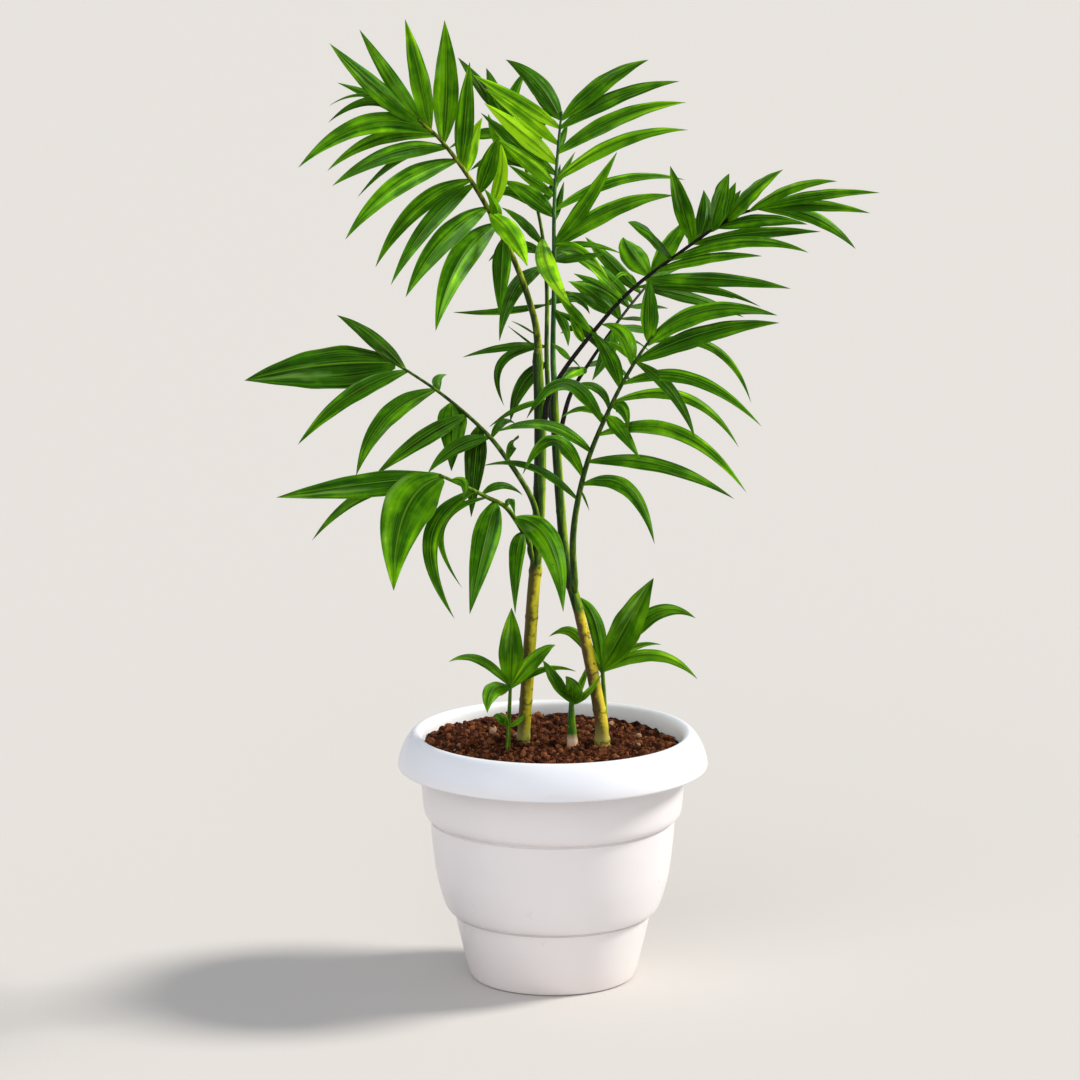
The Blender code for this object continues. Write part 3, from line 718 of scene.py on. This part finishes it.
def leafGreen(name, deep, middle, bright, glow):
    # light and dark greens, partly the leaves' own tone and partly painted light and shade, lengthwise
    # veins, keel, pale edge and dry tip
    material, tree, shader = newMaterial(name, Specular_IOR_Level=0.04, Subsurface_Weight=0.05)
    shader.inputs["Subsurface Radius"].default_value = (0.0020, 0.0026, 0.0004)
    place = objectPlace(tree)
    across, along, layer, shade, luck = (
        readAttribute(tree, label) for label in ("across", "along", "layer", "light", "luck"))
    away = abs(across)

    def streaks(narrow, long, *detail):
        # they follow the blade's own surface and differ from blade to blade
        return noise(addNode(tree, "ShaderNodeCombineXYZ", across * narrow, along * long,
                             luck * 30.0), 1.0, *detail)

    # the light value, up to the glow stop, is partly the blade's own tone and partly painted light and
    # shade
    for source, amount in ((noise(place, 45.0, 4.0), 1.0), (luck, 0.4),
                           (streaks(2.2, 1.3, 2.0), 1.3)):
        shade = shade + (source - 0.5) * amount
    veins = streaks(14.0, 1.1, 3.0, 0.7)
    dryness = along + (noise(place, 160.0) - 0.5) * 0.05
    dry = ramp(dryness, (0.972, 0.0), (0.99, 1.0)) * fade(luck, 0.3, 0.5, 0.0, 0.8)
    body = layColours(
        ramp(shade, (0.04, deep), (0.46, middle), (0.84, bright), (1.0, glow)),
        (ramp(veins, (0.4, 0.0), (0.75, 0.45)), bright),
        # painted sheen: pale streaks that stand for glossy highlights
        (ramp(streaks(1.6, 3.0, 2.0), (0.62, 0.0), (0.82, 0.35)), (0.36, 0.58, 0.16)),
        (fade(away, 0.06, 0.22, 0.45, 0.0), deep),  # painted shade in the gutters beside the keel
        (fade(away, 0.02, 0.06, 0.7, 0.0), (0.13, 0.32, 0.008)),  # keel
        (fade(away, 0.94, 1.0, 0.0, 0.5), (0.18, 0.33, 0.010)),  # edges
        (fade(along, 0.0, 0.10, 0.5, 0.0), (0.10, 0.28, 0.008)),  # root
        (fade(layer, -0.2, 0.2, 0.3, 0.0), (0.04, 0.15, 0.015)),  # underside
        (dry, (0.16, 0.075, 0.02)),  # dry tips
        (ramp(noise(place, 700.0, 1.0), (0.735, 0.0), (0.76, 0.7)), (0.10, 0.06, 0.01)))  # specks
    sheen = fade(noise(place, 120.0, 3.0), 0.3, 0.7, 0.30, 0.46)
    rough = sheen + fade(layer, -0.2, 0.2, 0.18, 0.0)
    finishShader(shader, body, rough, veins, 0.45, 0.0004)
    return material


def stalkFinish(name, low, high, spot, paleFoot=None):
    # two tones in long streaks, lighter on the right as painted sunlight, with small spots and a pale bulb
    # at a foot
    material, tree, shader = newMaterial(name, Specular_IOR_Level=0.15)
    place = objectPlace(tree)
    side = surfaceTowards(tree, (0.8, 0.1, 0.3))
    streaks = noise(place * (1.0, 1.0, 0.25), 260.0, 4.0, 0.6) + side * 0.32
    between = tuple(0.7 * a + 0.3 * b for a, b in zip(low, high))
    layers = [(ramp(noise(place, 520.0, 2.0), (0.64, 0.0), (0.70, 0.6)), spot)]
    if paleFoot:
        away = place.vector("DISTANCE", paleFoot)
        layers.append((fade(away, 0.009, 0.014, 1.0, 0.0), (0.60, 0.42, 0.28)))
    colour = layColours(ramp(streaks, (0.36, low), (0.62, between), (0.86, high)), *layers)
    rough = fade(streaks, 0.3, 0.7, 0.30, 0.48)
    finishShader(shader, colour, rough, streaks, 0.3, 0.0004)
    return material


def guideMesh(name, path, radii, roots):
    # the stalk's line and one loose point for each blade, with what the tree reads
    mesh = lineMesh(name, path, [root["root"] for root in roots])
    setPoints(mesh, "isRoot", "FLOAT", [0.0] * len(path) + [1.0] * len(roots))
    setPoints(mesh, "thick", "FLOAT", [radius * mm for radius in radii] + [0.0] * len(roots))
    for label, size in (("root", mm), ("pull", mm), ("tip", mm), ("face", 1)):
        setPoints(mesh, label, "FLOAT_VECTOR",
                  [Vector((0, 0, 0))] * len(path) + [root[label] * size for root in roots])
    for label, size in (("width", mm), ("twist", 1), ("light", 1)):
        setPoints(mesh, label, "FLOAT",
                  [0.0] * len(path) + [root[label] * size for root in roots])
    return mesh


def bladeRoots(axis, stalkRadius, face, light, tip, width, rise, shift=0, lighter=0, twist=0):
    tip = Vector(tip)
    root = axis + (tip - axis).normalized() * bladeRoot * stalkRadius
    return {"root": root, "tip": tip, "pull": (root + tip) / 2 + 2 * Vector((shift, 0, rise)),
            "face": Vector(face), "width": width, "light": light + lighter,
            "twist": math.radians(twist)}


leafTree = frondTree()
bladeGreen = leafGreen("bladeGreen", (0.001, 0.009, 0.001), (0.014, 0.094, 0.001),
                       (0.150, 0.420, 0.002), (0.370, 0.720, 0.008))
youngGreen = leafGreen("youngGreen", (0.003, 0.018, 0.001), (0.026, 0.115, 0.001),
                       (0.140, 0.370, 0.004), (0.320, 0.560, 0.012))
# the bright and dark finishes are partly the stalks' own tone and partly painted light and shade
stalks = {
    "green": stalkFinish("stalkGreen", (0.008, 0.034, 0.002), (0.240, 0.420, 0.010),
                         (0.05, 0.08, 0.01)),
    "bright": stalkFinish("stalkBright", (0.014, 0.040, 0.002), (0.440, 0.540, 0.025),
                          (0.05, 0.04, 0.01)),
    "cool": stalkFinish("stalkCool", (0.008, 0.045, 0.008), (0.150, 0.370, 0.060),
                        (0.04, 0.10, 0.03)),
    "dark": stalkFinish("stalkDark", (0.004, 0.003, 0.002), (0.018, 0.018, 0.006),
                        (0.05, 0.06, 0.01)),
    "young": stalkFinish("stalkYoung", (0.020, 0.090, 0.003), (0.240, 0.420, 0.014),
                         (0.30, 0.26, 0.04), (0.0155, -0.012, 0.190)),
}


def growLeaves(name, guide, bladeMaterial, stalkMaterial):
    piece = growMesh(addPiece(name, guide), leafTree, {
        **bladeForm, "Blade Material": bladeMaterial, "Stalk Material": stalkMaterial})
    for label in ("isRoot", "thick", "root", "pull", "tip", "face", "width", "twist"):
        spare = piece.data.attributes.get(label)
        if spare:
            piece.data.attributes.remove(spare)
    return piece


# fronds: each grows from a cane at a height and on a side, and its stalk follows the path to
# the tip. A frond's light and a leaflet's lighter are partly the leaves' own tone and partly painted
# light and shade. A leaflet is (place along the stalk 0-1, tip, width, rise of its middle, shift of its
# middle to the right, how much lighter it is, twist in degrees), in millimetres

fronds = {
    "frondUpperLeft": {
        "node": "frond_upper_left", "cane": caneLeft, "at": 511, "side": None,
        "radii": (3.4, 1.2), "stalk": "bright", "light": 0.46,
        "path": [(-12, 0, 519), (-16, -10, 545), (-31, -26, 590), (-58, -48, 645), (-84, -68, 685),
                 (-104, -82, 706)],
        "face": (0.1, -0.85, 0.5),
        "leaflets": [
            (0.97, (-170, -120, 768), 17, -2, -1), (1.0, (-148, -102, 777), 13, 0, -1),
            (0.94, (-113, -105, 785), 16, 0, 1), (0.87, (-83, -102, 784), 20, 0, 2),
            (0.76, (-64, -99, 752), 15, 0), (0.64, (-42, -85, 694), 15, 0), (1.0, (-167, -60, 732), 10, 3),
            (0.99, (-173, -88, 704), 9, 18), (0.98, (-173, -70, 715), 4, 15, -2),
            (0.93, (-194, -136, 675), 18, 20), (0.91, (-174, -90, 667), 12, 12, -2),
            (0.85, (-168, -144, 662), 15, 10), (0.86, (-153, -40, 640), 7, 11),
            (0.79, (-158, -150, 622), 17, 11, -4), (0.7, (-137, -102, 594), 15, 12, -5),
            (0.68, (-124, -142, 586), 14, 8, -3), (0.58, (-113, -130, 575), 19, 8, -4),
            (0.51, (-90, -138, 550), 22, 11, -6), (0.45, (-42, -51, 549), 15, 4),
            (0.56, (-20, -117, 597), 18, 4, 3, 0.25), (0.73, (-55, -40, 703), 14, 0, -3, 0.5),
            (0.56, (-41, -50, 684), 11, 2, 5, 0.55), (0.5, (-54, -60, 650), 9, 0, 4, 0.1),
            (0.06, (-33, -20, 540), 2, 1), (0.01, (-36, -12, 535), 2, 0),
        ],
    },
    "frondTop": {
        "node": "frond_top", "cane": caneRight, "at": 478, "side": None,
        "radii": (2.8, 0.9), "stalk": "cool", "light": 0.52,
        "path": [(1, 14, 486), (0, 17, 510), (1, 28, 566), (1, 43, 620), (4, 58, 666),
                 (7, 68, 696)],
        "face": (0.0, -0.8, 0.6),
        "leaflets": [
            (1.0, (76, 41, 740), 16, 7), (0.94, (101, 50, 722), 14, 8), (0.85, (106, 41, 706), 15, 10),
            (0.75, (107, 24, 686), 13, 12), (0.64, (107, 92, 638), 10, 13),
            (0.52, (51, 24, 669), 13, -2, 1), (0.51, (96, 7, 636), 16, 11), (1.0, (-38, 84, 736), 17, 6, 3),
            (0.94, (-65, 84, 724), 13, 2, 0, 0.32), (0.88, (-55, 76, 714), 12, 2, 0, 0.3),
            (0.81, (-55, 66, 703), 16, 2, 0, 0.3), (0.73, (-44, 55, 675), 13, 2, 0, 0.3),
            (0.69, (-36, 78, 652), 9, 1, 0, 0.25), (0.62, (-40, 56, 642), 16, 4, 0, -0.05),
            (0.77, (-58, 78, 694), 13, 0, 0, -0.15), (0.99, (-18, 95, 712), 9, 0, 0, -0.15),
            (0.86, (12, 78, 686), 6, 0), (0.73, (18, 75, 663), 5, 0), (0.6, (9, 60, 641), 6, 0),
            (0.52, (46, 0, 567), 6, 11, 0, 0.15), (0.51, (55, 10, 589), 6, 5, 0, 0.1),
            (0.46, (42, 0, 590), 9, 1, 0, -0.1), (0.29, (12, -5, 517), 8, 2, 3, -0.05),
        ],
    },
    "frondRight": {
        "node": "frond_right", "cane": caneLeft, "at": 462, "side": (0.6, -0.8),
        "radii": (2.4, 1.0), "stalk": "dark", "light": 0.46,
        "path": [(-5.2, -7.6, 471), (1, -13, 487), (20, -18, 516), (58, -31, 563), (98, -45, 597),
                 (137, -58, 626), (166, -64, 637)],
        "face": (-0.25, -0.7, 0.65),
        "leaflets": [
            (0.74, (90, -79, 670), 15, 0), (0.81, (135, -96, 666), 20, 0, -2, 0, 35),
            (0.87, (176, -104, 670), 19, 2, -4), (0.94, (217, -113, 662), 11, 7),
            (0.99, (251, -96, 651), 11, 5), (0.99, (245, -79, 633), 12, 5),
            (0.98, (236, -50, 601), 13, 10, 4), (0.66, (57, -100, 629), 20, 4, 2, 0.05, -40),
            (0.57, (55, -24, 607), 21, 4, -4, 0.1, 40), (0.58, (108, -8, 621), 16, 3),
            (0.73, (129, -10, 636), 17, 2), (0.83, (196, -92, 626), 13, 5), (0.74, (205, -112, 623), 13, 4),
            (0.65, (195, -128, 609), 12, 12, 3), (0.59, (161, -96, 602), 11, 5),
            (0.55, (181, -140, 583), 14, 4, 3), (0.51, (163, -40, 554), 8, 9),
            (0.46, (23, -75, 595), 9, 3, -3, 0.12), (0.39, (10, -45, 567), 9, 3),
            (0.41, (13, -30, 572), 13, 3, 0, -0.1), (0.44, (11, -60, 577), 7, 4, 0, 0.1),
            (0.45, (16, -22, 578), 9, 2, 0, -0.05), (0.31, (1, -40, 568), 9, 0, 0, 0.1),
            (0.52, (45, -60, 574), 6, 10, 0, 0.15), (0.27, (13, -30, 545), 7, 0, 0, 0.3),
            (0.31, (0, -15, 548), 6, 2, 0, 0.05), (0.2, (-1, -5, 520), 5, 1, 0, 0.1),
            (0.8, (147, -30, 645), 13, 0, 0, -0.1, 35), (0.77, (118, -20, 644), 15, 0, 3, -0.1, 35),
            (0.83, (142, -52, 654), 12, 0, 0, 0.1, 35), (0.05, (-51, -22, 455), 6, 5),
        ],
    },
    "frondLowerRight": {
        "node": "frond_lower_right", "cane": caneRight, "at": 328, "side": (0.5, -0.87),
        "radii": (3.0, 1.0), "stalk": "green", "light": 0.44,
        "path": [(16, -10, 362), (20, -20, 397), (30, -34, 438), (49, -56, 486), (65, -73, 518),
                 (77, -85, 538)],
        "face": (-0.2, -0.75, 0.62),
        "leaflets": [
            (0.36, (79, -99, 376), 13, 21, 7), (0.45, (141, -99, 412), 13, 12),
            (0.56, (149, -124, 422), 13, 25, 4), (0.7, (146, -50, 444), 10, 22, 7),
            (0.78, (160, -132, 475), 12, 21), (0.88, (174, -115, 553), 18, 8),
            (0.96, (172, -124, 560), 18, 15, -6), (0.88, (110, -105, 460), 10, 7, 5),
            (1.0, (155, -60, 481), 8, 20, 10), (1.0, (74, -99, 586), 15, 0),
            (0.86, (37, -52, 542), 13, 9, 5), (0.76, (28, -99, 545), 13, 3, 3),
            (0.61, (-21, -99, 475), 14, 30), (0.49, (-45, -112, 467), 14, 14, 4),
            (0.39, (-24, -82, 428), 14, 29), (0.3, (-55, -92, 437), 9, 13, 2),
            (0.64, (68, -75, 439), 12, 6, -2, 0.1), (0.68, (59, -60, 460), 11, 8, 2),
            (0.34, (29, -25, 388), 2, 1), (0.63, (6, -20, 462), 6, 8), (0.88, (42, -30, 525), 7, 3, 0, 0.2),
        ],
    },
    "frondInnerRight": {
        "node": "frond_inner_right", "cane": caneRight, "at": 450, "side": (0.9, 0.45),
        "radii": (2.0, 0.9), "stalk": "dark", "light": 0.3,
        "path": [(14, 22, 474), (28, 34, 496), (54, 62, 529), (79, 100, 554)],
        "face": (-0.2, -0.75, 0.62),
        "leaflets": [
            (1.0, (148, 92, 541), 11, 5), (0.94, (157, 124, 521), 12, 4), (0.9, (26, 60, 596), 13, 3, -3),
            (0.81, (3, 46, 587), 11, 6, 3), (0.77, (15, 76, 555), 11, 8, 3),
            (0.67, (18, 46, 562), 15, 6, 3), (0.59, (104, 104, 501), 9, 7), (0.46, (6, 62, 517), 11, 11, 2),
            (0.5, (80, 120, 493), 9, 8), (0.34, (65, 88, 471), 10, 10, 2),
            (0.98, (113, 136, 563), 11, 3, -5), (0.22, (46, 44, 452), 8, 9, 6), (0.67, (87, 90, 522), 5, 2),
            (0.62, (91, 95, 513), 4, 2, 0, 0.1), (0.77, (94, 100, 532), 7, 2),
            (0.58, (31, 0, 489), 14, 3, 4, 0.15), (0.3, (12, 0, 509), 6, 2, 0, 0.1),
            (0.33, (6, -5, 488), 15, 4, 0, 0.3),
        ],
    },
    "frondBack": {
        "node": "frond_back", "cane": caneRight, "at": 462, "side": (-0.6, 0.8),
        "radii": (2.2, 0.9), "stalk": "green", "light": 0.26,
        "path": [(-5, 30, 501), (-5, 44, 560), (-11, 64, 612), (-27, 90, 662), (-44, 110, 694)],
        "face": (0.0, -0.8, 0.6),
        "leaflets": [
            (1.0, (-77, 124, 734), 11, 2), (0.99, (-54, 138, 724), 11, 2),
            (0.92, (-20, 132, 724), 10, 2, -5), (0.89, (-85, 118, 660), 11, 8),
            (0.78, (-67, 104, 644), 11, 10), (0.79, (-4, 118, 690), 10, 0),
            (0.64, (-52, 66, 628), 12, 9, 2), (0.64, (6, 102, 650), 7, 0, 4),
            (0.49, (-52, 74, 574), 11, 10, -2), (0.33, (-81, 66, 534), 7, -2), (0.2, (-73, 54, 499), 8, 4),
            (0.2, (-39, 42, 461), 8, 12, -19), (0.15, (-34, 20, 452), 13, 6, -5),
            (0.45, (-42, -62, 530), 14, 12, -6), (0.52, (-41, 20, 625), 10, 3, 1, 0.1),
            (0.5, (-16, 40, 588), 6, 0, -2, -0.2), (0.46, (30, 88, 572), 11, 10),
            (0.33, (30, 74, 531), 11, 11, 4), (0.54, (14, -92, 562), 16, 2, -6, 0.75),
            (0.97, (-54, 100, 713), 10, 0, 0, 0.1), (0.83, (-18, 95, 684), 6, 0),
            (0.79, (-5, 100, 687), 8, 0), (0.79, (-52, 80, 693), 12, -2, -4, 0.5),
        ],
    },
    "frondLeft": {
        "node": "frond_left", "cane": caneLeft, "at": 378, "side": (-0.1, -0.99),
        "radii": (2.6, 1.0), "stalk": "green", "light": 0.22,
        "path": [(-19, -11, 400), (-39, 0, 429), (-57, 14, 448), (-90, 40, 472), (-131, 61, 496)],
        "face": (0.15, -0.75, 0.62),
        "leaflets": [
            (1.0, (-248, 43, 482), 40, 5), (0.92, (-175, 84, 529), 14, 5),
            (0.91, (-203, -11, 439), 15, 10, -2), (0.76, (-156, -29, 417), 17, 12, -8),
            (0.57, (-141, -38, 419), 15, 5, 0), (0.42, (-99, -38, 421), 13, 7, -2),
            (0.66, (-81, -2, 416), 24, 9, 1, 0.15), (0.49, (-65, -20, 382), 18, 7),
            (0.29, (-27, -34, 451), 8, 4), (0.41, (-30, 46, 446), 7, 8), (0.74, (-86, 84, 480), 8, 4, -4),
        ],
    },
    "frondLowerLeft": {
        "node": "frond_lower_left", "cane": caneLeft, "at": 352, "side": (-0.7, -0.71),
        "radii": (2.4, 1.3), "stalk": "green", "light": 0.42,
        "path": [(-20, -7.5, 361), (-36, -25, 390), (-52, -44, 403), (-68, -64, 415),
                 (-88, -89, 429)],
        "face": (0.1, -0.8, 0.58),
        "leaflets": [
            (1.0, (-215, -108, 415), 22, 2), (0.98, (-191, -40, 367), 12, 15, -6),
            (0.99, (-123, -146, 349), 40, 18, -10), (0.9, (-70, -100, 412), 8, 6, 5),
            (0.68, (-77, -92, 315), 14, 12, -26), (0.55, (-72, -32, 327), 7, 13, -26),
            (0.46, (-65, -116, 324), 22, 10, 1), (0.6, (-24, -30, 402), 7, 8),
            (0.36, (-30, -62, 392), 7, 10), (0.14, (-30, -38, 307), 13, 13, -2),
            (0.26, (8, -76, 317), 23, 19, 8),
        ],
    },
}

# young shoots: a stem with a few leaves at its top, each (tip, width, rise, shift)

shoots = {
    "shootLeft": {
        "node": "shoot_left", "planted": True, "radii": [1.9, 1.6, 1.3],
        "path": [(-36, -14, 194), (-35, -14, 220), (-34, -14, 245)],
        "leaves": [((-33, -30, 311), 20, 0, 0), ((-83, -40, 269), 9, 12, 0),
                   ((-52, -60, 232), 16, 8, -5), ((2, -32, 281), 14, 7, 2),
                   ((19, -14, 255), 6, 9, 0)],
    },
    "shootMiddle": {
        "node": "shoot_middle", "planted": True, "radii": [4.6, 4.2, 3.2, 1.9],
        "path": [(16, -10, 192), (15.5, -10, 200), (15, -10, 214), (15, -11, 230)],
        "leaves": [((-8, -30, 268), 11, 3, -2), ((10, -34, 256), 17, 0, 3),
                   ((29, 16, 256), 6, 0, 1), ((39, -18, 254), 6, -2, 1)],
    },
    "shootRight": {
        "node": "shoot_right", "planted": False, "radii": [2.2, 1.9, 1.6],
        "path": [(42.2, 6.6, 214), (41.2, 9.6, 232), (40, 11, 253)],
        "leaves": [((80, -34, 336), 28, 1, 0), ((115, 8, 294), 16, 24, 1),
                   ((88, 32, 267), 7, 8, 0), ((116, -20, 250), 12, 17, 3),
                   ((18, 44, 305), 13, 11, 5), ((-3, 34, 273), 10, 17, 0),
                   ((4, 20, 282), 6, 14, 0)],
    },
    "seedlingSprig": {
        "node": "seedling", "planted": True, "radii": [1.2, 1.1, 0.9],
        "path": [(-37, -25, 193), (-36, -25, 205), (-36, -24, 214)],
        "leaves": [((-48, -32, 222), 9, 3, 0), ((-22, -30, 224), 5, 0, 2),
                   ((-39, -38, 224), 6, 2, 0)],
    },
}

stalkSeat = {
    "downOnTop": 7,  # how far down in the cane a stalk starts, in millimetres
    "downBeside": 13,
    "over": 1.1,  # where a stalk on top comes out, over the cane's end
    "off": 0.3,  # where one beside it comes out, off the cane's skin
    "inside": 0.35,  # where that one starts, as a share of the cane's radius off its axis
    "thin": 0.8,  # share of its thickness at the start
    "widen": 0.03,  # what each step adds to that share
    "steps": 10,  # steps between two points of a stalk
}
shootLeaf = {
    "below": 1.0,  # how far the first leaf sits below the stem's end, in millimetres
    "apart": 0.7,  # and each next one below it
    "face": (0.0, -0.75, 0.65),
    "light": 0.5,
    "steps": 8,  # steps between two points of a stem
}


def makeFrond(name, frond):
    root, end = frond["radii"]
    centre, radius = canePoint(frond["cane"], frond["at"])
    if frond["side"] is None:
        start = centre + Vector((0, 0, stalkSeat["over"]))
        sunk = [start - Vector((0, 0, stalkSeat["downOnTop"]))]
    else:
        side = Vector((*frond["side"], 0)).normalized()
        start = centre + side * (radius + root + stalkSeat["off"])
        within, around = canePoint(frond["cane"], frond["at"] - stalkSeat["downBeside"])
        sunk = [within + side * around * stalkSeat["inside"]]
    path = smoothPath([start] + frond["path"], 2)
    leaflets = []
    for at, tip, width, rise, *more in frond["leaflets"]:
        shift, lighter, twist = (more + [0, 0, 0])[:3]
        leaflets.append(bladeRoots(alongPath(path, min(at, lastRoot)), end, frond["face"],
                                   frond["light"], tip, width, rise, shift, lighter, twist))
    steps = stalkSeat["steps"]
    smooth = smoothPath(sunk + [start] + frond["path"], steps)
    share = [max(0.0, (i - steps) / (len(smooth) - steps - 1)) for i in range(len(smooth))]
    radii = [root + (end - root) * s for s in share]
    radii[:steps] = [root * (stalkSeat["thin"] + stalkSeat["widen"] * i) for i in range(steps)]
    settle(growLeaves(name, guideMesh(name, smooth, radii, leaflets), bladeGreen,
                      stalks[frond["stalk"]]), frond["node"])


def makeShoot(name, shoot):
    path = [Vector(point) for point in shoot["path"]]
    radii = shoot["radii"]
    leaves = []
    for number, (tip, width, rise, shift) in enumerate(shoot["leaves"]):
        axis = path[-1] - Vector((0, 0, shootLeaf["below"] + shootLeaf["apart"] * number))
        leaves.append(bladeRoots(axis, radii[-1], shootLeaf["face"], shootLeaf["light"],
                                 tip, width, rise, shift))
    if shoot["planted"]:
        path = [path[0] - Vector((0, 0, plantingDepth))] + path
        radii = [radii[0]] + radii
    smooth = smoothPath(path, shootLeaf["steps"])
    settle(growLeaves(name, guideMesh(name, smooth, spread(radii, len(smooth)), leaves),
                      youngGreen, stalks["young"]), shoot["node"])


for name, frond in fronds.items():
    makeFrond(name, frond)
print("fronds done")
for name, shoot in shoots.items():
    makeShoot(name, shoot)
print("shoots done")

# studio: pale floor, soft key from the right and a little behind, soft fill from the front left

studio = {
    "floorSize": 60.0,
    "floorColour": (0.57, 0.545, 0.52),
    "camera": {"at": (-0.0103, -3.7185, 1.1029), "tilt": 11.3, "view": 13.0},
    # suns: the way the light comes from, how wide it is in degrees, strength, colour
    "suns": {
        "key": ((0.76, 0.18, 0.62), 14, 3.8, (1.0, 0.965, 0.90)),
        "fill": ((-0.30, -0.78, 0.58), 60, 1.0, (0.98, 0.98, 1.0)),
    },
    "sky": ((0.90, 0.94, 1.0), 0.52),
}


def makeStudio():
    scene = bpy.context.scene
    half = studio["floorSize"] / 2
    mesh = bpy.data.meshes.new("floor")
    mesh.from_pydata([(-half, -half, 0), (half, -half, 0), (half, half, 0), (-half, half, 0)],
                     [], [(0, 1, 2, 3)])
    floor = addPiece("floor", mesh)
    material, tree, shader = newMaterial("floorPaint", Roughness=0.9)
    shader.inputs["Base Color"].default_value = (*studio["floorColour"], 1)
    mesh.materials.append(material)
    for name, (source, width, strength, colour) in studio["suns"].items():
        light = bpy.data.lights.new(name, "SUN")
        light.angle, light.energy, light.color = math.radians(width), strength, colour
        lamp = addPiece(name, light)
        lamp.rotation_euler = Vector(source).to_track_quat("Z", "Y").to_euler()
    world = bpy.data.worlds.new("sky")
    world.use_nodes = True
    colour, strength = studio["sky"]
    background = world.node_tree.nodes["Background"]
    background.inputs["Color"].default_value = (*colour, 1)
    background.inputs["Strength"].default_value = strength
    scene.world = world
    view = studio["camera"]
    lens = bpy.data.cameras.new("camera")
    lens.angle = math.radians(view["view"])
    lens.clip_end = 100
    camera = addPiece("camera", lens)
    camera.location = view["at"]
    camera.rotation_euler = (math.radians(90 - view["tilt"]), 0, 0)
    scene.camera = camera
    scene.view_settings.view_transform = "Standard"


makeStudio()
print("studio done")
